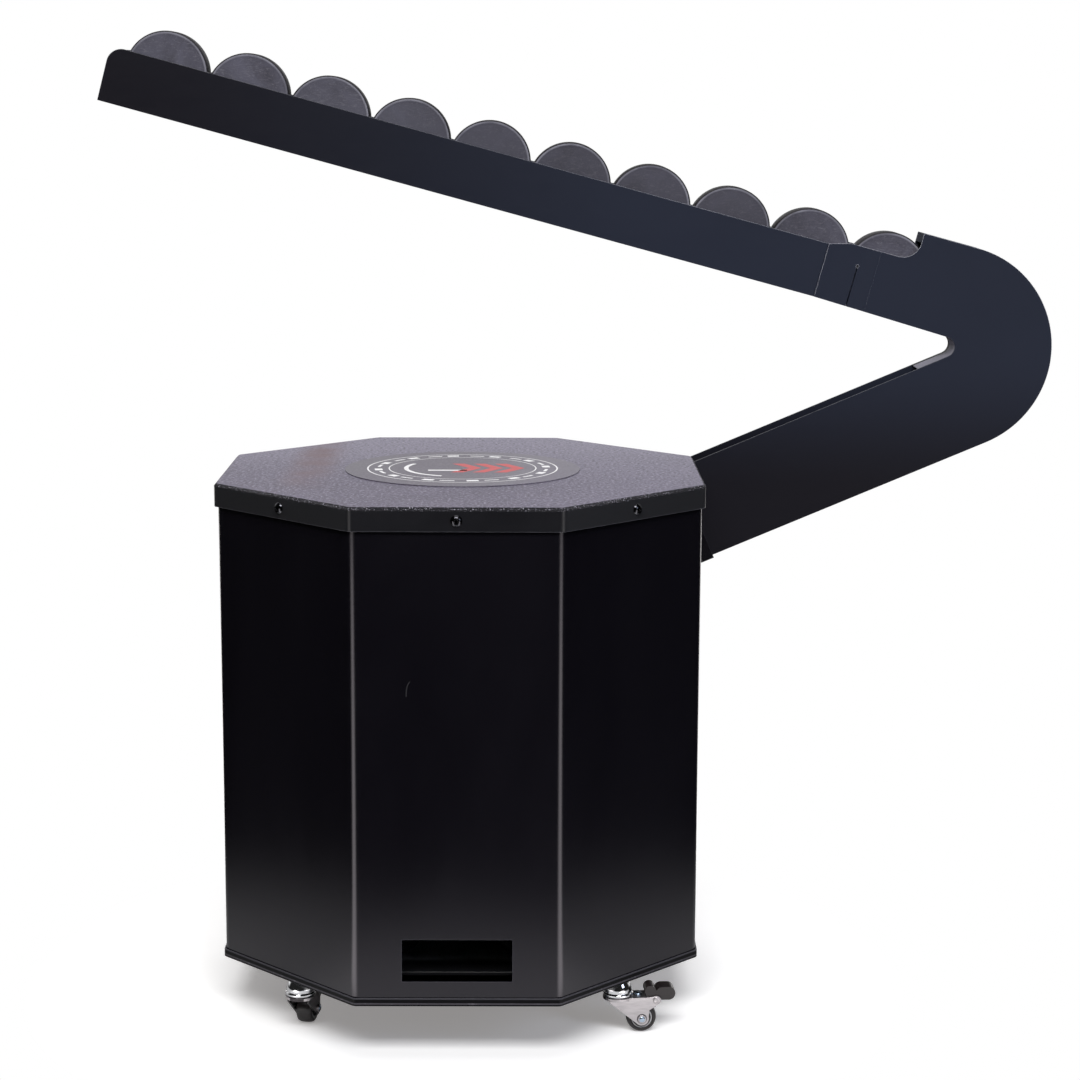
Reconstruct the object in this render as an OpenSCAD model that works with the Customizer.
/* [Pucks] */
// Diameter of a puck
puck_d = 76.2; // [74:0.1:76.6]
// Thickness of a puck
puck_t = 25.4; // [20:0.1:27]
// Bevel on each rim of a puck
puck_bevel = 1.6; // [0.5:0.1:3]
// Gap between neighbouring pucks in the row
puck_gap = 0.2; // [0.1:0.1:0.6]
// Number of pucks standing in a row on the feed rail
rail_puck_count = 9; // [1:1:9]

/* [Cabinet] */
// Distance across the flats of the lid
lid_af = 420; // [410:1:440]
// Height of the lid skirt
lid_skirt_h = 20; // [16:1:26]
// Radius of the lid corners
lid_corner_r = 7; // [3:1:12]
// Chamfer along the top edge of the lid
lid_chamfer = 2; // [1:0.5:3]
// Gap between the lid skirt and the cabinet walls
lid_gap = 1.5; // [1:0.1:3]
// Thickness of the cabinet and lid sheet
sheet = 1.5; // [1:0.1:2]
// Radius of the vertical bends of the cabinet walls
wall_bend_r = 4; // [2:0.5:6]
// Height from the underside of the base to the top of the lid
cabinet_h = 422; // [418:1:440]
// Thickness of the base pan floor
base_t = 2; // [1.5:0.1:3]
// Height of the upturned rim of the base pan
base_rim_h = 7; // [5:0.5:9]
// Diameter of the round plate on the lid
disc_d = 208; // [120:1:260]
// Thickness of the round plate on the lid
disc_t = 1; // [0.5:0.1:2]
// Diameter of the lid screw heads
screw_head_d = 8.5; // [6:0.5:9]

/* [Exit slot and launch deck] */
// Width of the exit slot
slot_w = 92; // [86:1:96]
// Height of the exit slot
slot_h = 36.5; // [32:0.5:40]
// Height of the slot's lower edge above the base underside
slot_sill = 21; // [19:0.5:22]
// Height of the launch deck above the base underside
deck_h = 23; // [22:0.5:26]
// Thickness of the launch deck
deck_t = 3; // [2:0.5:4]
// Gap between the deck's front edge and the front wall
deck_setback = 18.5; // [12:0.5:24]

/* [Flywheels] */
// Diameter of the flywheel tyres
wheel_d = 100; // [96:1:102]
// Height of the flywheels
wheel_h = 24; // [20:1:26]
// Gap between the two tyres, smaller than a puck
nip_gap = 70; // [68:0.5:72]
// Gap between each tyre and the slanted cabinet wall
tyre_wall_gap = 17.6; // [14:0.1:22]
// Diameter of the flywheel hubs
hub_d = 76; // [60:1:80]
// Diameter of the motor spindles
spindle_d = 8; // [6:0.5:10]
// Diameter of the motors
motor_d = 60; // [50:1:62]
// Length of the motors
motor_len = 86; // [70:1:95]

/* [Feed chute] */
// Distance of the chute's middle plane behind the cabinet axis
chute_y = 140; // [136:0.5:143]
// Inner width of the chute between its side plates
chute_w = 35; // [30:0.5:36]
// Height of the rail's side walls
rail_wall_h = 50.6; // [42:0.1:55]
// Length of the rail from its open end to the joint
rail_len = 681.5; // [660:0.5:700]
// Downward slope of the rail in degrees
rail_slope = 15; // [14:0.5:15.5]
// Radius of the rail's upper end corners
rail_corner_r = 14; // [5:1:20]
// Length of the rail walls held inside the elbow
rail_grip = 27; // [15:1:28]
// Downward slope of the elbow's floor in degrees
elbow_slope = 16.6; // [16:0.1:18]
// Length of the elbow's straight floor
elbow_floor_len = 131; // [128:0.5:134]
// Height of the elbow's side plates at the joint
elbow_lip_h = 56; // [54:0.5:60]
// Height of the finger notch's floor to the joint, along the rail
notch_from = 65.5; // [60:0.5:70]
// Radius of the finger notch
notch_r = 17; // [12:0.5:18]
// Outer radius of the bend
bend_r = 95.7; // [94:0.1:97]
// Distance from the cabinet's side wall out to the bend's centre
bend_out = 242.5; // [233:0.5:253]
// Height of the bend's centre above the lid
bend_up = 97; // [94:0.5:100]
// Radius of the inner nose of the bend
nose_r = 9.5; // [8:0.5:10.5]
// Upward slope of the leg in degrees
leg_slope = 23; // [22:0.5:24]
// Depth of the leg from its floor to its upper edge
leg_depth = 89; // [87:0.5:91]
// Length of the inlet trough outside the cabinet wall
trough_reach = 46.4; // [40:0.2:54]
// Length of the leg that the inlet trough holds
leg_grip = 109; // [95:1:120]
// Thickness of the inlet trough's sheet
trough_t = 2; // [1.5:0.1:2.5]
// Clearance around the leg in the trough
trough_gap = 0.5; // [0.3:0.1:0.8]
// Height of the trough's side walls
trough_h = 72; // [60:1:74]

/* [Drop shaft] */
// Clear width of the drop shaft
shaft_w = 87; // [82:1:90]
// Distance from the lid down to the top of the drop shaft
shaft_below = 85; // [70:1:100]
// Distance of the laydown curve's centre behind the cabinet axis
curve_y = 30; // [24:1:36]

/* [Casters] */
// Height of the casters under the base
caster_h = 48; // [46:1:52]
// Distance from each caster's axis to the slanted cabinet wall
caster_inset = 13.25; // [12:0.25:20]
// Diameter of the caster wheels
caster_wheel_d = 26; // [24:0.5:27]
// Width of the caster wheels
caster_wheel_w = 14.4; // [12:0.2:15]
// Distance from the swivel axis to the wheel axle
caster_trail = 20; // [18:0.5:22]
// Diameter of the swivel head
caster_head_d = 26; // [22:0.5:27]

/* [Controls] */
// Width of the control panel
panel_w = 150; // [140:1:160]
// Height of the control panel
panel_h = 70; // [60:1:90]
// Height of the panel's centre above the floor
panel_z = 235; // [215:1:260]
// Diameter of the knobs
knob_d = 22; // [18:0.5:26]
// Radius of the charging jack's bore
jack_bore_r = 2.8; // [2:0.05:3.5]
// Depth of the charging jack's bore
jack_depth = 9.5; // [8:0.5:12]

/* [Power] */
// Width of the battery
battery_w = 80; // [60:1:84]
// Length of the battery
battery_len = 110; // [90:1:114]
// Height of the battery
battery_h = 94; // [70:1:110]
// Width of the control board
board_w = 76; // [74:1:80]
// Length of the control board
board_len = 100; // [98:1:106]

/* [Hidden] */
$fn = 64;

// Heights
lid_top = caster_h + cabinet_h;
skirt_bottom = lid_top - lid_skirt_h;
base_floor = caster_h + base_t;
deck_top = caster_h + deck_h;
slot_z = caster_h + slot_sill;
shaft_top = lid_top - shaft_below;

// Cabinet plan
shell_af = lid_af - 2 * (sheet + lid_gap);
half_face = shell_af / 2 * tan(22.5);
seam_gap = 0.3;
seam_y = -half_face;

// Puck row
puck_r = puck_d / 2;
puck_pitch = puck_d + puck_gap;
puck_rest = 0.2;

// Chute plan
plate_near = chute_y - chute_w / 2 - sheet;
plate_far = chute_y + chute_w / 2;
joggle_gap = 0.2;
trough_in = chute_w + 2 * sheet + 2 * trough_gap;
trough_out = trough_in + 2 * trough_t;
trough_near = chute_y - trough_out / 2;
trough_far = chute_y + trough_out / 2 - trough_t;
bend_x = shell_af / 2 + bend_out;
bend_z = lid_top + bend_up;
wall_along = (shell_af / sqrt(2) - chute_y - bend_x) / cos(leg_slope);
trough_mouth = wall_along + trough_reach;
trough_tail = 120;
leg_len = leg_grip - trough_mouth;

function turned(a, p) = [p[0] * cos(a) - p[1] * sin(a), p[0] * sin(a) + p[1] * cos(a)];

// Bend, nose and joint in the chute's plane, as distance to the right and height
bend_c = [bend_x, bend_z];
nose_lift = nose_r - (bend_r - leg_depth);
nose_back = 3.5;
nose_c = bend_c + turned(leg_slope, [-nose_back, nose_lift]);
joint_c = nose_c + turned(-elbow_slope, [-elbow_floor_len, nose_r]);
bend_in_rail = turned(rail_slope, bend_c - joint_c);
arm_top = bend_in_rail[1] + bend_r;
elbow_puck_along = 59;
joggle_len = rail_grip + 4;

// Resting places of the pucks in the elbow, the bend and the leg
ride_r = bend_r - sheet - puck_rest - puck_r;
elbow_puck = joint_c + turned(-elbow_slope, [elbow_puck_along, sheet + puck_rest + puck_r]);
elbow_puck_arm = elbow_puck - bend_c;
elbow_puck_reach = norm(elbow_puck_arm);
bend_puck_turn = acos((pow(ride_r, 2) + pow(elbow_puck_reach, 2) - pow(puck_pitch, 2))
    / (2 * ride_r * elbow_puck_reach));
upper_bend_angle = atan2(elbow_puck_arm[1], elbow_puck_arm[0]) - bend_puck_turn;
lower_bend_angle = upper_bend_angle - 2 * asin(puck_pitch / 2 / ride_r);
lower_bend_in_leg = turned(-leg_slope, ride_r * [cos(lower_bend_angle), sin(lower_bend_angle)]);
first_leg_puck = lower_bend_in_leg[0]
    - sqrt(pow(puck_pitch, 2) - pow(lower_bend_in_leg[1] + ride_r, 2));
leg_puck_count = 5;

// Trough and gate in the leg's frame
trough_floor = -(bend_r + trough_gap);
staged_along = first_leg_puck - leg_puck_count * puck_pitch;
staged_height = trough_floor + puck_rest + puck_r;
finger_reach = 37;
finger_drop = 40;
gate_swing = 30;
gate_along = staged_along + 2;
gate_height = staged_height + 63.9;
gate_t = 6;
gate_pin_r = 4;
gate_run = 0.05;
gate_arm = 20;
gate_tip_r = 4;
plunger_clear = 0.8;
link_pin_r = 2.5;
ear_top = gate_height + 9;
solenoid_from = gate_along + 24;
solenoid_len = 30;
solenoid_end_t = 4;
solenoid_h = 2 * (gate_height + gate_arm - ear_top);

// Drop shaft
shaft_near = chute_y - trough_in / 2;
shaft_far = chute_y + trough_in / 2;
curve_inner = shaft_near - curve_y;
curve_outer = shaft_far - curve_y;
curve_z = deck_top + curve_outer;
cheek_t = 1.5;

// Flywheels and motors
wheel_x = (nip_gap + wheel_d) / 2;
wheel_forward = sqrt(2) * (shell_af / 2 - sheet - tyre_wall_gap - wheel_d / 2) - wheel_x;
wheel_z = deck_top + 1;
motor_plate_z = wheel_z + wheel_h + 34;
motor_plate_t = 3;
motor_z = motor_plate_z + motor_plate_t;
spindle_run = 0.05;
spindle_depth = 30;
fence_h = 20;
fence_t = 1.5;
fence_x = puck_d / 2 + 4.4;
post_r = 5;
fence_from = 54 - wheel_forward;
lane_half = shaft_w / 2 + 20;
deck_front = -shell_af / 2 + deck_setback;
deck_margin = 11;
deck_wall_gap = 9;
deck_half = wheel_x + wheel_d / 2 + deck_margin;
deck_back = wheel_d / 2 + deck_margin - wheel_forward;
side_post = [deck_half - 14, deck_back - 13];
// Posts that stand on the base under the deck
low_posts = [[72, deck_front + 16.5], side_post, [52, curve_y - 18]];
// Posts that stand on the deck under the motor plate
high_posts = [[60, -wheel_forward - 56], side_post];

// Casters: swivel axis and the heading of the trailing wheel in degrees
caster_pos = (shell_af / 2 - caster_inset) / sqrt(2);
casters = [[-caster_pos, -caster_pos, 78], [caster_pos, -caster_pos, 4],
    [-caster_pos, caster_pos, 112], [caster_pos, caster_pos, 24]];
stem_r = 4;
kingpin_r = 3;
caster_run = 0.05;
fork_t = 1.6;
fork_gap = 0.8;
fork_in = caster_wheel_w / 2 + fork_gap;
fork_top = caster_h - 16;
fork_plate_t = 2.5;
head_gap = 0.3;
axle_r = 2.5;
axle_z = caster_wheel_d / 2;
pedal_x = caster_trail + 12.5;
pedal_z = caster_h - 18.7;
pedal_pin_r = 2;
pedal_w = caster_wheel_w + 0.6;

// Controls on the rear wall
panel_t = 2;
panel_y = shell_af / 2;
panel_front = panel_y + panel_t;
switch_x = -48;
speed_x = -12;
interval_x = 22;
jack_x = 54;
switch_w = 22;
switch_h = 34;
rocker_w = 16;
rocker_h = 23;
rocker_tilt = 8;
rocker_pin_r = 1.5;
rocker_cavity_h = 28.4;
shaft_r = 3;
bush_r = 4.5;
pin_run = 0.05;

// Screws
screw_shank_r = 2;
panel_screw_r = 1.7;
screw_z = skirt_bottom + 9;

// Rounded octagon with flat faces square to the axes and the diagonals
function octagon_points(af, r) = [for (k = [0:7], a = [-22.5:9:22.5])
    (af / 2 - r) / cos(22.5) * [cos(45 * k + 22.5), sin(45 * k + 22.5)]
    + r * [cos(45 * k + 22.5 + a), sin(45 * k + 22.5 + a)]];

// Points along an arc, about 2.5 degrees apart
function arc_points(c, r, from, to) = let (n = ceil(abs(to - from) / 2.5))
    [for (k = [0:n]) let (a = from + (to - from) * k / n) c + r * [cos(a), sin(a)]];
function leg_point(p) = bend_c + turned(leg_slope, p);
function rail_point(p) = joint_c + turned(-rail_slope, p);

module octagon(af, r) {
    polygon(octagon_points(af, r));
}

module octagon_ring(af, r, wall) {
    difference() {
        octagon(af, r);
        octagon(af - 2 * wall, max(r - wall, 0.5));
    }
}

module prism(z, h) {
    translate([0, 0, z])
        linear_extrude(height = h)
            children();
}

// Extrudes a shape drawn in the chute's plane, from y0 away from the front
module upright(y0, t) {
    translate([0, y0 + t, 0])
        rotate([90, 0, 0])
            linear_extrude(height = t)
                children();
}

// Extrudes a shape drawn in the middle plane of the cabinet, from x0 to the right
module across(x0, len) {
    translate([x0, 0, 0])
        rotate([90, 0, 90])
            linear_extrude(height = len)
                children();
}

module in_rail() {
    translate(joint_c)
        rotate(-rail_slope)
            children();
}

module leg_frame() {
    translate([bend_x, 0, bend_z])
        rotate([0, -leg_slope, 0])
            children();
}

module block(from, to) {
    translate(from)
        cube(to - from);
}

// Each wall screw, seen along its own axis
module at_lid_screws() {
    for (k = [0:7])
        rotate([0, 0, 45 * k])
            translate([shell_af / 2, 0, screw_z])
                rotate([0, 90, 0])
                    children();
}

module base_pan() {
    color("#1b1b20")
    difference() {
        union() {
            prism(caster_h, base_t)
                octagon(shell_af + 2 * sheet, wall_bend_r + sheet);
            prism(caster_h, base_rim_h)
                octagon_ring(shell_af + 2 * sheet, wall_bend_r + sheet, sheet - 0.2);
        }
        for (c = casters)
            translate([c[0], c[1], caster_h - 1])
                cylinder(r = stem_r + 0.3, h = base_t + 2);
    }
}

module wall_ring() {
    prism(base_floor, skirt_bottom + lid_skirt_h - 2 * sheet - base_floor)
        octagon_ring(shell_af, wall_bend_r, sheet);
}

module front_shell() {
    color("#101014")
    difference() {
        intersection() {
            wall_ring();
            block([-shell_af, -shell_af, 0], [shell_af, seam_y - seam_gap / 2, lid_top]);
        }
        block([-slot_w / 2, -shell_af, slot_z], [slot_w / 2, -shell_af / 2 + 5, slot_z + slot_h]);
        at_lid_screws()
            cylinder(r = screw_shank_r + 0.2, h = 20, center = true);
    }
}

module trough_window() {
    leg_frame()
        block([-leg_len - trough_tail, trough_near - 1.5, trough_floor - trough_t - 1.5],
            [trough_mouth, trough_far + trough_t + 1.5, leg_depth - bend_r + 3]);
}

module rear_shell() {
    color("#101014")
    difference() {
        intersection() {
            wall_ring();
            block([-shell_af, seam_y + seam_gap / 2, 0], [shell_af, shell_af, lid_top]);
        }
        intersection() {
            trough_window();
            block([shaft_w / 2 + 20, 0, 0], [shell_af, shell_af, skirt_bottom - 2]);
        }
        block([-panel_w / 2 + 9, panel_y - 5, panel_z - panel_h / 2 + 9],
            [panel_w / 2 - 9, panel_y + 5, panel_z + panel_h / 2 - 9]);
        at_lid_screws()
            cylinder(r = screw_shank_r + 0.2, h = 20, center = true);
        at_panel_corners()
            cylinder(r = panel_screw_r + 0.1, h = 12, center = true);
    }
}

module seam_straps() {
    strap_w = 26;
    color("#2a2a30")
    intersection() {
        prism(base_floor, skirt_bottom - 2 - base_floor)
            octagon_ring(shell_af - 2 * sheet, wall_bend_r - sheet, sheet);
        union()
            for (s = [-1, 1])
                translate([s * shell_af / 2, seam_y, 0])
                    block([-strap_w / 2, -strap_w / 2, 0], [strap_w / 2, strap_w / 2, lid_top]);
    }
}

module top_frame() {
    frame_w = 14;
    color("#2a2a30")
    difference() {
        union() {
            prism(skirt_bottom - 1, lid_skirt_h + 1 - sheet)
                octagon_ring(shell_af - 2 * sheet, wall_bend_r - sheet, sheet);
            prism(lid_top - 2 * sheet, sheet)
                octagon_ring(shell_af - 2 * sheet, wall_bend_r - sheet, frame_w);
        }
        at_lid_screws()
            cylinder(r = screw_shank_r, h = 20, center = true);
    }
}

module lid() {
    color("#5d5862")
    difference() {
        union() {
            prism(skirt_bottom, lid_skirt_h - lid_chamfer)
                octagon(lid_af, lid_corner_r);
            hull() {
                prism(lid_top - lid_chamfer - 0.01, 0.01)
                    octagon(lid_af, lid_corner_r);
                prism(lid_top - 0.01, 0.01)
                    octagon(lid_af - 2 * lid_chamfer, lid_corner_r);
            }
        }
        prism(skirt_bottom - 1, lid_skirt_h + 1 - sheet)
            octagon(lid_af - 2 * sheet, lid_corner_r - sheet);
        at_lid_screws()
            cylinder(r = screw_shank_r + 0.1, h = 20, center = true);
    }
}

module lid_disc() {
    color("#6b6570")
    prism(lid_top, disc_t)
        circle(d = disc_d, $fn = 128);
}

module lid_screws() {
    head_r = screw_head_d / 2;
    head_h = 2.6;
    socket_r = 1.6;
    color("#0c0c0e")
    at_lid_screws()
        translate([0, 0, lid_gap + sheet])
            difference() {
                union() {
                    rotate_extrude()
                        polygon([[0, 0], [head_r, 0], [head_r, 0.6], [head_r * 0.86, 1.6],
                            [head_r * 0.55, head_h], [0, head_h]]);
                    translate([0, 0, -lid_gap - 3 * sheet - 2])
                        cylinder(r = screw_shank_r, h = lid_gap + 3 * sheet + 2);
                }
                translate([0, 0, head_h - 1.2])
                    cylinder(r = socket_r, h = 2, $fn = 6);
            }
}

// Facing a viewer behind the cabinet: local z points out of the rear wall
module on_panel(x, z) {
    translate([x, panel_front, z])
        rotate([-90, 0, 0])
            children();
}

module at_panel_corners() {
    inset = 4.5;
    for (sx = [-1, 1], sz = [-1, 1])
        on_panel(sx * (panel_w / 2 - inset), panel_z + sz * (panel_h / 2 - inset))
            children();
}

module control_panel() {
    color("#17171b")
    difference() {
        block([-panel_w / 2, panel_y, panel_z - panel_h / 2],
            [panel_w / 2, panel_front, panel_z + panel_h / 2]);
        block([switch_x - switch_w / 2, panel_y - 1, panel_z - switch_h / 2],
            [switch_x + switch_w / 2, panel_front + 1, panel_z + switch_h / 2]);
        for (x = [speed_x, interval_x])
            on_panel(x, panel_z)
                cylinder(r = bush_r, h = 12, center = true);
        on_panel(jack_x, panel_z)
            cylinder(r = 5.5, h = 12, center = true);
        at_panel_corners()
            cylinder(r = panel_screw_r + 0.1, h = 12, center = true);
    }
}

module panel_screws() {
    head_r = 3;
    head_h = 1.8;
    shank_len = panel_t + sheet + 3;
    color("#0c0c0e")
    at_panel_corners()
        difference() {
            union() {
                rotate_extrude()
                    polygon([[0, 0], [head_r, 0], [head_r, 0.5], [head_r * 0.8, head_h * 0.8],
                        [head_r * 0.5, head_h], [0, head_h]]);
                translate([0, 0, -shank_len])
                    cylinder(r = panel_screw_r, h = shank_len + 0.5);
            }
            translate([0, 0, head_h - 1])
                cylinder(r = 1.2, h = 2, $fn = 6);
        }
}

module switch_housing() {
    depth = 22;
    bezel = 2;
    color("#0d0d0f")
    difference() {
        union() {
            block([switch_x - switch_w / 2, panel_front - depth, panel_z - switch_h / 2],
                [switch_x + switch_w / 2, panel_front, panel_z + switch_h / 2]);
            block([switch_x - switch_w / 2 - bezel, panel_front, panel_z - switch_h / 2 - bezel],
                [switch_x + switch_w / 2 + bezel, panel_front + bezel, panel_z + switch_h / 2 + bezel]);
        }
        block([switch_x - rocker_w / 2 - 0.4, panel_front - 14, panel_z - rocker_cavity_h / 2],
            [switch_x + rocker_w / 2 + 0.4, panel_front + 5, panel_z + rocker_cavity_h / 2]);
        translate([switch_x, panel_front - 2, panel_z])
            rotate([0, 90, 0])
                cylinder(r = rocker_pin_r + pin_run, h = rocker_w + 4, center = true);
    }
}

module power_switch() {
    color("#c02020")
    translate([switch_x, panel_front - 2, panel_z])
        rotate([-rocker_tilt, 0, 0]) {
            across(-rocker_w / 2, rocker_w)
                polygon([[-8, -rocker_h / 2 + 1], [6.5, -rocker_h / 2], [3.6, 0],
                    [6.5, rocker_h / 2], [-8, rocker_h / 2 - 1]]);
            rotate([0, 90, 0])
                cylinder(r = rocker_pin_r, h = rocker_w + 3, center = true);
        }
}

module potentiometers() {
    color("#6f7276")
    for (x = [speed_x, interval_x])
        on_panel(x, panel_z)
            difference() {
                union() {
                    translate([0, 0, -panel_t - 12])
                        cylinder(r = 8, h = 12);
                    translate([0, 0, -panel_t - 1])
                        cylinder(r = bush_r, h = panel_t + 5);
                }
                translate([0, 0, -8])
                    cylinder(r = shaft_r + pin_run, h = 20);
            }
}

module knob(x) {
    skirt_from = 5;
    skirt_t = 3;
    grip_h = 11;
    grip_r = knob_d / 2 - 2;
    flute_r = 1.6;
    on_panel(x, panel_z)
        difference() {
            union() {
                translate([0, 0, -7.5])
                    cylinder(r = shaft_r, h = 14);
                translate([0, 0, skirt_from])
                    cylinder(r = knob_d / 2, h = skirt_t);
                translate([0, 0, skirt_from + 1])
                    linear_extrude(height = skirt_t + grip_h - 1)
                        difference() {
                            circle(r = grip_r);
                            for (a = [15:30:345])
                                rotate(a)
                                    translate([grip_r + 0.6, 0])
                                        circle(r = flute_r);
                        }
            }
            translate([-0.6, 2, skirt_from + skirt_t + grip_h - 0.6])
                cube([1.2, knob_d / 2, 2]);
        }
}

module speed_knob() {
    color("#202024")
    knob(speed_x);
}

module interval_knob() {
    color("#202024")
    knob(interval_x);
}

module charge_inlet() {
    color("#2c2c30")
    on_panel(jack_x, panel_z)
        difference() {
            union() {
                cylinder(r = 8, h = 2.5);
                translate([0, 0, -14])
                    cylinder(r = 5.5, h = 15);
                translate([0, 0, -panel_t - sheet - 2])
                    cylinder(r = 8, h = 2 + sheet, $fn = 6);
            }
            translate([0, 0, 2.5 - jack_depth])
                cylinder(r = jack_bore_r, h = jack_depth + 1);
        }
}

// The trough's outline across its length, cut off plumb at the drop shaft
module inlet_trough() {
    ear_from = gate_along - 12;
    ear_to = solenoid_from + solenoid_len - 10;
    color("#17171b")
    difference() {
        leg_frame()
            difference() {
                union() {
                    block([-leg_len - trough_tail, trough_near, trough_floor - trough_t],
                        [trough_mouth, trough_near + trough_out, trough_floor]);
                    for (y = [trough_near, trough_far]) {
                        block([-leg_len - trough_tail, y, trough_floor - trough_t],
                            [trough_mouth, y + trough_t, trough_floor - trough_t + trough_h]);
                        block([ear_from, y, trough_floor + trough_h - 10],
                            [ear_to, y + trough_t, ear_top]);
                    }
                }
                translate([gate_along, chute_y, gate_height])
                    rotate([90, 0, 0])
                        cylinder(r = gate_pin_r, h = trough_out + 10, center = true);
            }
        block([-shell_af, 0, 0], [shaft_w / 2, shell_af, lid_top]);
    }
}

// Collar plate on the outside of the right rear wall, round the trough
module inlet_collar() {
    collar_t = 2;
    border = 12;
    color("#17171b")
    difference() {
        intersection() {
            rotate([0, 0, 45])
                block([shell_af / 2, -half_face + 4, 0], [shell_af / 2 + collar_t, half_face - 4,
                    skirt_bottom - 1]);
            leg_frame()
                block([-leg_len - trough_tail, trough_near - border, trough_floor - trough_t - border],
                    [trough_mouth, trough_near + trough_out + border, leg_depth]);
        }
        leg_frame()
            block([-leg_len - 2 * trough_tail, trough_near, trough_floor - trough_t],
                [trough_mouth + 50, trough_near + trough_out, leg_depth - bend_r + trough_gap]);
        // Room for the lid's skirt
        block([0, 0, skirt_bottom - 0.5], [lid_af, lid_af, lid_top]);
    }
}

module drop_cheeks() {
    low = base_floor;
    trough_seat = bend_z + (shaft_w / 2 - bend_x) * tan(leg_slope)
        + (trough_floor - trough_t) / cos(leg_slope);
    color("#2a2a30") {
        across(-shaft_w / 2 - cheek_t, cheek_t)
            polygon([[curve_y, low], [shaft_far + cheek_t, low], [shaft_far + cheek_t, shaft_top],
                [shaft_near - cheek_t, shaft_top], [shaft_near - cheek_t, curve_z],
                [curve_y, deck_top + trough_in + 10]]);
        across(shaft_w / 2, cheek_t)
            polygon([[curve_y, low], [shaft_far + cheek_t, low], [shaft_far + cheek_t, trough_seat],
                [shaft_near - cheek_t, trough_seat], [shaft_near - cheek_t, curve_z],
                [curve_y, deck_top + trough_in + 10]]);
    }
}

// Quarter of a ring under and behind the laydown curve's centre
module quarter_ring(r, t) {
    translate([curve_y, curve_z])
        intersection() {
            difference() {
                circle(r = r + t, $fn = 128);
                circle(r = r, $fn = 128);
            }
            translate([0, -r - t])
                square(r + t);
        }
}

module front_guide() {
    color("#8d9096")
    across(-shaft_w / 2, shaft_w) {
        quarter_ring(curve_inner - cheek_t, cheek_t);
        translate([shaft_near - cheek_t, curve_z])
            square([cheek_t, shaft_top - curve_z]);
    }
}

module back_guide() {
    color("#8d9096")
    across(-shaft_w / 2, shaft_w) {
        quarter_ring(curve_outer, cheek_t);
        translate([shaft_far, curve_z])
            square([cheek_t, shaft_top - curve_z]);
    }
}

// Plate under the flywheels with its corners cut along the cabinet's walls
module wheel_plate(half, front, back, wall_gap) {
    intersection() {
        octagon(shell_af - 2 * (sheet + wall_gap), wall_bend_r);
        translate([-half, front])
            square([2 * half, back - front]);
    }
}

module launch_deck() {
    color("#a3a6ab") {
        prism(deck_top - deck_t, deck_t) {
            wheel_plate(deck_half, deck_front, deck_back, deck_wall_gap);
            translate([-lane_half, deck_back - 10])
                square([2 * lane_half, curve_y + 10 - deck_back]);
        }
        for (s = [-1, 1])
            translate([s * (fence_x + fence_t / 2) - fence_t / 2, fence_from, deck_top])
                cube([fence_t, curve_y - fence_from, fence_h]);
    }
}

module deck_posts() {
    color("#b9bcc0")
    for (s = [-1, 1]) {
        for (p = low_posts)
            translate([s * p[0], p[1], base_floor])
                cylinder(r = post_r, h = deck_top - deck_t - base_floor);
        for (p = high_posts)
            translate([s * p[0], p[1], deck_top])
                cylinder(r = post_r, h = motor_plate_z - deck_top);
    }
}

module motor_plate() {
    plate_wall_gap = 16;
    color("#a3a6ab")
    difference() {
        prism(motor_plate_z, motor_plate_t)
            wheel_plate(deck_half - 4, -wheel_forward - motor_d / 2 - 36, deck_back - 2,
                plate_wall_gap);
        for (s = [-1, 1])
            translate([s * wheel_x, -wheel_forward, motor_plate_z - 1])
                cylinder(r = 11, h = motor_plate_t + 2);
    }
}

module motor() {
    translate([0, -wheel_forward, motor_z])
        difference() {
            union() {
                cylinder(r = motor_d / 2, h = motor_len);
                translate([0, 0, -motor_plate_t])
                    cylinder(r = 10.5, h = motor_plate_t + 1);
                translate([0, 0, motor_len - 1])
                    cylinder(r = motor_d / 2 - 8, h = 6);
            }
            for (a = [0:45:315])
                rotate([0, 0, a])
                    translate([motor_d / 2 - 1, -3, motor_len - 26])
                        cube([5, 6, 16]);
            translate([0, 0, -motor_plate_t - 1])
                cylinder(r = spindle_d / 2 + spindle_run, h = motor_plate_t + 1 + spindle_depth);
        }
}

module left_motor() {
    color("#3c3e44")
    translate([-wheel_x, 0, 0])
        motor();
}

module right_motor() {
    color("#3c3e44")
    translate([wheel_x, 0, 0])
        motor();
}

module spindle() {
    translate([0, -wheel_forward, wheel_z + 1])
        cylinder(r = spindle_d / 2, h = motor_z + spindle_depth - 2 - wheel_z);
}

module left_spindle() {
    color("#d0d2d6")
    translate([-wheel_x, 0, 0])
        spindle();
}

module right_spindle() {
    color("#d0d2d6")
    translate([wheel_x, 0, 0])
        spindle();
}

module hub() {
    translate([0, -wheel_forward, wheel_z])
        difference() {
            union() {
                cylinder(r = hub_d / 2, h = wheel_h);
                cylinder(r = 13, h = wheel_h + 12);
            }
            translate([0, 0, wheel_h - 7])
                difference() {
                    cylinder(r = hub_d / 2 - 5, h = 20);
                    translate([0, 0, -1])
                        cylinder(r = 13, h = 22);
                }
            translate([0, 0, -1])
                cylinder(r = spindle_d / 2, h = wheel_h + 20);
        }
}

module left_hub() {
    color("#c4c7cb")
    translate([-wheel_x, 0, 0])
        hub();
}

module right_hub() {
    color("#c4c7cb")
    translate([wheel_x, 0, 0])
        hub();
}

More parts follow.
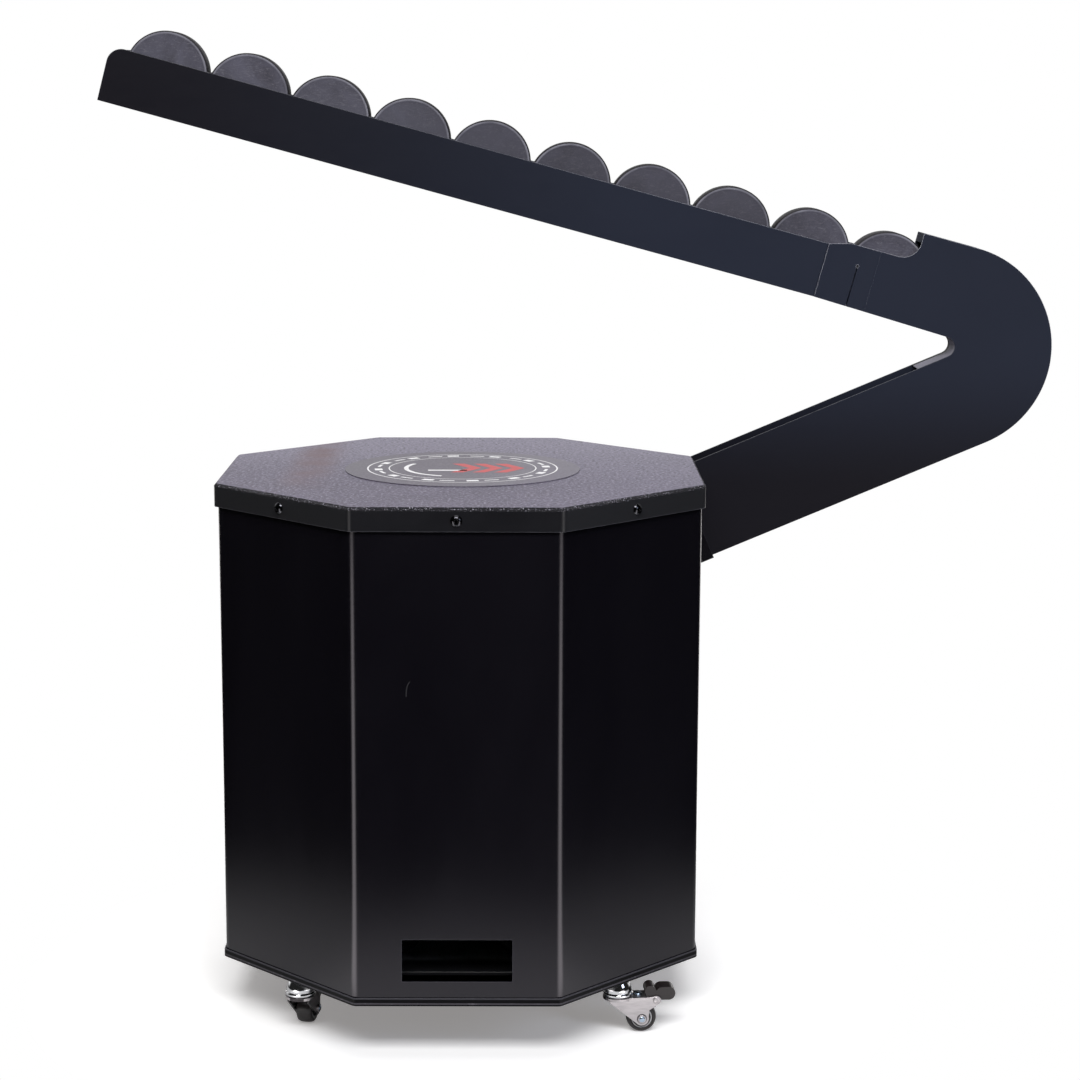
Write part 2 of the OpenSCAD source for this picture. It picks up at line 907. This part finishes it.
module tyre() {
    groove = 1.5;
    translate([0, -wheel_forward, wheel_z])
        difference() {
            cylinder(r = wheel_d / 2, h = wheel_h, $fn = 128);
            translate([0, 0, -1])
                cylinder(r = hub_d / 2, h = wheel_h + 2);
            for (z = [wheel_h / 3, wheel_h * 2 / 3])
                translate([0, 0, z - groove / 2])
                    difference() {
                        cylinder(r = wheel_d / 2 + 1, h = groove);
                        translate([0, 0, -1])
                            cylinder(r = wheel_d / 2 - groove, h = groove + 2);
                    }
        }
}

module left_tyre() {
    color("#2b2b2e")
    translate([-wheel_x, 0, 0])
        tyre();
}

module right_tyre() {
    color("#2b2b2e")
    translate([wheel_x, 0, 0])
        tyre();
}

// A straight bar from the pivot to a point, drawn in the gate's plane
module gate_bar(to, w, tip_r) {
    length = norm(to);
    rotate(atan2(to[1], to[0]))
        translate([0, -w / 2])
            square([length, w]);
    translate(to)
        circle(r = tip_r);
}

// Two-finger rocker: one finger stops the front puck, the other meters the next
module gate_rocker() {
    bar_w = 6;
    raised = turned(gate_swing, [finger_reach, -finger_drop]);
    color("#b03a2e")
    leg_frame()
        translate([gate_along, 0, gate_height])
            difference() {
                union() {
                    upright(chute_y - gate_t / 2, gate_t) {
                        circle(r = 9);
                        gate_bar([-finger_reach, -finger_drop], bar_w, gate_tip_r);
                        gate_bar(raised, bar_w, gate_tip_r);
                        gate_bar([0, gate_arm], bar_w, gate_tip_r);
                    }
                    translate([0, chute_y, gate_arm])
                        rotate([90, 0, 0])
                            cylinder(r = link_pin_r, h = gate_t + 12, center = true);
                }
                translate([0, chute_y, 0])
                    rotate([90, 0, 0])
                        cylinder(r = gate_pin_r + gate_run, h = 40, center = true);
            }
}

module gate_pin() {
    head_t = 2;
    color("#d0d2d6")
    leg_frame()
        translate([gate_along, chute_y, gate_height])
            rotate([90, 0, 0]) {
                cylinder(r = gate_pin_r, h = trough_out, center = true);
                for (s = [-1, 1])
                    translate([0, 0, s * (trough_out / 2 + head_t / 2)])
                        cylinder(r = gate_pin_r + 2, h = head_t, center = true);
            }
}

module gate_solenoid() {
    color("#4a4d54")
    leg_frame()
        difference() {
            block([solenoid_from, trough_near, ear_top],
                [solenoid_from + solenoid_len, trough_near + trough_out, ear_top + solenoid_h]);
            translate([solenoid_from - 1, chute_y, gate_height + gate_arm])
                rotate([0, 90, 0])
                    cylinder(r = 6 + gate_run, h = solenoid_len + 1 - solenoid_end_t);
            for (x = [solenoid_from + 4, solenoid_from + solenoid_len - 8])
                block([x, trough_near - 1, ear_top + 3],
                    [x + 4, trough_near + 3, ear_top + solenoid_h - 3]);
        }
}

module gate_plunger() {
    fork_len = 12;
    stroke_room = 15;
    color("#d0d2d6")
    leg_frame()
        translate([0, chute_y, gate_height + gate_arm])
            difference() {
                union() {
                    translate([gate_along + 7, 0, 0])
                        rotate([0, 90, 0])
                            cylinder(r = 6, h = solenoid_from - gate_along - 7 + stroke_room);
                    block([gate_along - 6, -gate_t / 2 - 5, -7], [gate_along + 9, gate_t / 2 + 5, 7]);
                }
                block([gate_along - 7, -gate_t / 2 - 0.6, -8],
                    [gate_along + fork_len - 5, gate_t / 2 + 0.6, 8]);
                block([gate_along - link_pin_r - plunger_clear, -20, -8],
                    [gate_along + link_pin_r + plunger_clear, 20, link_pin_r + plunger_clear]);
            }
}

module battery() {
    post_w = 8;
    post_len = 12;
    post_h = 6;
    wall_room = 40;
    seam_down = 16;
    groove = 1;
    at = [wall_room + sheet - shell_af / 2, deck_back + 12, base_floor];
    size = [battery_w, battery_len, battery_h];
    color("#35383f")
    difference() {
        union() {
            block(at, at + size);
            for (y = [18, battery_len - 18])
                translate(at + [(battery_w - post_w) / 2, y - post_len / 2, battery_h])
                    cube([post_w, post_len, post_h]);
        }
        translate(at + [-1, -1, battery_h - seam_down])
            difference() {
                cube([battery_w + 2, battery_len + 2, 1.5]);
                translate([1 + groove, 1 + groove, -1])
                    cube([battery_w - 2 * groove, battery_len - 2 * groove, 4]);
            }
    }
}

module control_board() {
    board_t = 1.6;
    foot_h = 8;
    foot_in = 5;
    fin_pitch = 7;
    lane_room = 10.5;
    at = [lane_half + lane_room, deck_back + 18, base_floor + foot_h];
    color("#1f6b3a") {
        block(at, at + [board_w, board_len, board_t]);
        for (x = [foot_in, board_w - foot_in], y = [foot_in, board_len - foot_in])
            translate([at[0] + x, at[1] + y, base_floor])
                cylinder(r = 3, h = foot_h);
        // Heat sink, its fins, three capacitors and a terminal block
        translate(at + [8, 12, board_t])
            cube([38, 35, 4]);
        translate(at + [10, 14, board_t])
            for (k = [0:4])
                translate([0, k * fin_pitch, 0])
                    cube([34, 3, 22]);
        for (k = [0:2])
            translate(at + [60, 50 + 16 * k, board_t])
                cylinder(r = 6, h = 18);
        translate(at + [8, 58, board_t])
            cube([34, 32, 9]);
    }
}

module rail_wall_shape() {
    in_rail() {
        translate([-rail_len + rail_corner_r, 0])
            square([rail_len + rail_grip - rail_corner_r, rail_wall_h]);
        translate([-rail_len, 0])
            square([rail_len, rail_wall_h - rail_corner_r]);
        translate([-rail_len + rail_corner_r, rail_wall_h - rail_corner_r])
            circle(r = rail_corner_r);
    }
}

module feed_rail() {
    wall_near = plate_near - joggle_gap;
    wall_far = plate_far + joggle_gap;
    color("#22242f") {
        upright(wall_near, sheet)
            rail_wall_shape();
        upright(wall_far, sheet)
            rail_wall_shape();
        upright(wall_near, wall_far + sheet - wall_near)
            in_rail()
                translate([-rail_len, 0])
                    square([rail_len - 0.3, sheet]);
    }
}

// Whole side plate: arm with its finger notch, bend and leg, round the wedge between them
module elbow_plate_shape() {
    notch_c = [notch_from, elbow_lip_h + notch_r];
    polygon([joint_c,
        each arc_points(nose_c, nose_r, 90 - elbow_slope, leg_slope - 90),
        leg_point([-leg_len, leg_depth - bend_r]),
        leg_point([-leg_len, -bend_r]),
        each arc_points(bend_c, bend_r, leg_slope - 90, 90 - rail_slope),
        rail_point([notch_from + notch_r, arm_top]),
        each [for (p = arc_points(notch_c, notch_r, 0, -90)) rail_point(p)],
        rail_point([20, elbow_lip_h]),
        rail_point([0, rail_wall_h])]);
}

// Side plate with its end joggled outward over the rail's wall
module elbow_plate(y, side) {
    joggle = sheet + joggle_gap * 2;
    slit_h = 37.5;
    difference() {
        union() {
            upright(y, sheet)
                difference() {
                    elbow_plate_shape();
                    in_rail()
                        translate([-20, -20])
                            square([joggle_len + 20, 120]);
                }
            upright(y + side * joggle, sheet)
                intersection() {
                    elbow_plate_shape();
                    in_rail()
                        translate([-20, -20])
                            square([joggle_len + 22, 120]);
                }
            upright(min(y, y + side * joggle), sheet + joggle)
                intersection() {
                    elbow_plate_shape();
                    in_rail()
                        translate([joggle_len, -20])
                            square([2, 120]);
                }
        }
        upright(y - 5, sheet + 10)
            in_rail() {
                translate([joggle_len - 0.5, -20])
                    square([1, slit_h + 20]);
                translate([joggle_len, slit_h])
                    circle(r = 1.3);
            }
    }
}

module elbow_near_plate() {
    color("#22242f")
    elbow_plate(plate_near, -1);
}

module elbow_far_plate() {
    color("#22242f")
    elbow_plate(plate_far, 1);
}

module elbow_outer_band() {
    lip_h = 9;
    notch_to = notch_from + notch_r;
    color("#22242f")
    upright(plate_near + sheet, chute_w)
        polygon([rail_point([notch_to, arm_top]),
            each arc_points(bend_c, bend_r, 90 - rail_slope, leg_slope - 90),
            leg_point([-leg_len, -bend_r]),
            leg_point([-leg_len, sheet - bend_r]),
            each arc_points(bend_c, bend_r - sheet, leg_slope - 90, 90 - rail_slope),
            rail_point([notch_to + sheet, arm_top - sheet]),
            rail_point([notch_to + sheet, arm_top - lip_h]),
            rail_point([notch_to, arm_top - lip_h])]);
}

// Floor of the arm, wrapped round the nose and back along the leg's upper edge
module elbow_floor() {
    return_len = 30;
    color("#8f8f96")
    upright(plate_near + sheet, chute_w)
        polygon([joint_c,
            each arc_points(nose_c, nose_r, 90 - elbow_slope, leg_slope - 90),
            nose_c + turned(leg_slope, [-return_len, -nose_r]),
            nose_c + turned(leg_slope, [-return_len, -nose_r - sheet]),
            each arc_points(nose_c, nose_r + sheet, leg_slope - 90, 90 - elbow_slope),
            joint_c + turned(-elbow_slope, [0, sheet])]);
}

// A puck standing on edge at a point of the chute's plane
module puck(at) {
    translate([at[0], chute_y, at[1]])
        rotate([90, 0, 0])
            rotate_extrude($fn = 96)
                polygon([[0, -puck_t / 2], [puck_r - puck_bevel, -puck_t / 2],
                    [puck_r, -puck_t / 2 + puck_bevel], [puck_r, puck_t / 2 - puck_bevel],
                    [puck_r - puck_bevel, puck_t / 2], [0, puck_t / 2]]);
}

module rail_pucks() {
    last_back = 16.2;
    color("#55535c")
    for (k = [0:rail_puck_count - 1])
        puck(joint_c + turned(-rail_slope,
            [-last_back - k * puck_pitch, sheet + puck_rest + puck_r]));
}

module chute_pucks() {
    color("#55535c") {
        puck(elbow_puck);
        puck(bend_c + ride_r * [cos(upper_bend_angle), sin(upper_bend_angle)]);
        puck(bend_c + ride_r * [cos(lower_bend_angle), sin(lower_bend_angle)]);
        for (k = [0:leg_puck_count - 1])
            puck(bend_c + turned(leg_slope, [first_leg_puck - k * puck_pitch, -ride_r]));
    }
}

module staged_pucks() {
    color("#55535c")
    puck(bend_c + turned(leg_slope, [staged_along, staged_height]));
}

module at_caster(c) {
    translate([c[0], c[1], 0])
        rotate([0, 0, c[2]])
            children();
}

module caster_stems() {
    head_r = caster_head_d / 2;
    head_bottom = fork_top + head_gap;
    pin_head_h = 2.5;
    color("#c9ccd0")
    for (c = casters)
        at_caster(c) {
            rotate_extrude()
                polygon([[0, head_bottom], [head_r - 1, head_bottom], [head_r, head_bottom + 1],
                    [head_r, head_bottom + 2.6], [head_r - 1.2, head_bottom + 3.6],
                    [head_r - 0.9, head_bottom + 6], [head_r * 0.86, head_bottom + 9.5],
                    [head_r * 0.74, head_bottom + 12.5], [head_r * 0.58, caster_h], [0, caster_h]]);
            translate([0, 0, head_bottom])
                cylinder(r = stem_r, h = caster_h + base_t + 11 - head_bottom);
            translate([0, 0, fork_top - fork_plate_t - head_gap - pin_head_h])
                cylinder(r = kingpin_r, h = fork_plate_t + pin_head_h + 3);
            translate([0, 0, fork_top - fork_plate_t - head_gap - pin_head_h])
                cylinder(r = kingpin_r + 2, h = pin_head_h);
        }
}

module caster_nuts() {
    color("#c9ccd0")
    for (c = casters)
        translate([c[0], c[1], base_floor])
            difference() {
                cylinder(r = 7.5, h = 6.5, $fn = 6);
                translate([0, 0, -1])
                    cylinder(r = stem_r, h = 10);
            }
}

module fork(c) {
    head_r = caster_head_d / 2;
    side_y = fork_in;
    plate_len = caster_trail + 4;
    color("#c9ccd0")
    at_caster(c)
        difference() {
            union() {
                translate([0, 0, fork_top - fork_plate_t]) {
                    cylinder(r = head_r, h = fork_plate_t);
                    translate([0, -side_y - fork_t, 0])
                        cube([plate_len, 2 * (side_y + fork_t), fork_plate_t]);
                }
                for (y = [-side_y - fork_t, side_y])
                    upright(y, fork_t) {
                        polygon([[-8, fork_top], [-8, fork_top - 4.5], [caster_trail - 4.5, axle_z - 4.2],
                            [caster_trail + 6, axle_z + 1.5], [caster_trail + 6.5, axle_z + 7.5],
                            [pedal_x + 2, pedal_z - 3.4], [pedal_x, pedal_z + 3.9],
                            [plate_len, fork_top]]);
                        translate([caster_trail, axle_z])
                            circle(r = 6.2);
                        translate([pedal_x, pedal_z])
                            circle(r = 4);
                    }
                translate([caster_trail, 0, axle_z])
                    rotate([90, 0, 0]) {
                        cylinder(r = axle_r, h = 2 * (side_y + fork_t) + 2, center = true);
                        for (s = [-1, 1])
                            translate([0, 0, s * (side_y + fork_t + 0.7)])
                                cylinder(r = axle_r + 1.2, h = 1.4, center = true);
                    }
            }
            translate([0, 0, fork_top - fork_plate_t - 1])
                cylinder(r = kingpin_r + caster_run, h = fork_plate_t + 2);
            translate([pedal_x, 0, pedal_z])
                rotate([90, 0, 0])
                    cylinder(r = pedal_pin_r + caster_run, h = 40, center = true);
        }
}

module caster_wheel(c) {
    rim = caster_wheel_d / 2;
    half = caster_wheel_w / 2;
    color("#2a2022")
    at_caster(c)
        translate([caster_trail, 0, axle_z])
            rotate([90, 0, 0])
                rotate_extrude()
                    polygon([[axle_r + caster_run, -half], [5, -half], [5, -half + 1.5],
                        [rim - 4, -half + 1.5], [rim - 3.4, -half], [rim - 1.2, -half],
                        [rim, -half + 1.4], [rim, half - 1.4], [rim - 1.2, half], [rim - 3.4, half],
                        [rim - 4, half - 1.5], [5, half - 1.5], [5, half], [axle_r + caster_run, half]]);
}

module pedal(c) {
    lobe_r = 5.7;
    lobe_len = 5.6;
    heel_r = 4.9;
    nose_tip_r = 2;
    nose_reach = 5.1;
    pivot = [pedal_x, pedal_z];
    toe = pivot + [10.8, 5.4];
    color("#3b3233")
    at_caster(c) {
        upright(-pedal_w / 2, pedal_w) {
            translate(pivot)
                circle(r = 4.2);
            polygon([pivot + [-3, 0], pivot + [3, -1], pivot + [8, 1.5], pivot + [8, 8],
                pivot + [-4, 8]]);
            polygon([each arc_points(toe, lobe_r, -90, 90),
                each arc_points(toe - [lobe_len, 0], lobe_r, 90, 270)]);
            translate(pivot + [-5, 7.6])
                circle(r = heel_r);
            // Brake nose, clear of the tyre until the pedal is pressed
            translate(pivot)
                rotate(250)
                    translate([0, -nose_tip_r])
                        square([nose_reach, 2 * nose_tip_r]);
            translate(pivot + nose_reach * [cos(250), sin(250)])
                circle(r = nose_tip_r);
        }
        translate([pedal_x, 0, pedal_z])
            rotate([90, 0, 0])
                cylinder(r = pedal_pin_r, h = 2 * (fork_in + fork_t) + 1.6, center = true);
    }
}

base_pan();
front_shell();
rear_shell();
seam_straps();
top_frame();
lid();
lid_disc();
lid_screws();
control_panel();
panel_screws();
switch_housing();
power_switch();
potentiometers();
speed_knob();
interval_knob();
charge_inlet();
inlet_trough();
inlet_collar();
drop_cheeks();
front_guide();
back_guide();
launch_deck();
deck_posts();
motor_plate();
left_motor();
right_motor();
left_spindle();
right_spindle();
left_hub();
right_hub();
left_tyre();
right_tyre();
gate_rocker();
gate_pin();
gate_solenoid();
gate_plunger();
battery();
control_board();
feed_rail();
elbow_near_plate();
elbow_far_plate();
elbow_outer_band();
elbow_floor();
rail_pucks();
chute_pucks();
staged_pucks();
caster_stems();
caster_nuts();
fork(casters[0]);  // front_left_fork
caster_wheel(casters[0]);  // front_left_wheel
pedal(casters[0]);  // front_left_pedal
fork(casters[1]);  // front_right_fork
caster_wheel(casters[1]);  // front_right_wheel
pedal(casters[1]);  // front_right_pedal
fork(casters[2]);  // rear_left_fork
caster_wheel(casters[2]);  // rear_left_wheel
pedal(casters[2]);  // rear_left_pedal
fork(casters[3]);  // rear_right_fork
caster_wheel(casters[3]);  // rear_right_wheel
pedal(casters[3]);  // rear_right_pedal
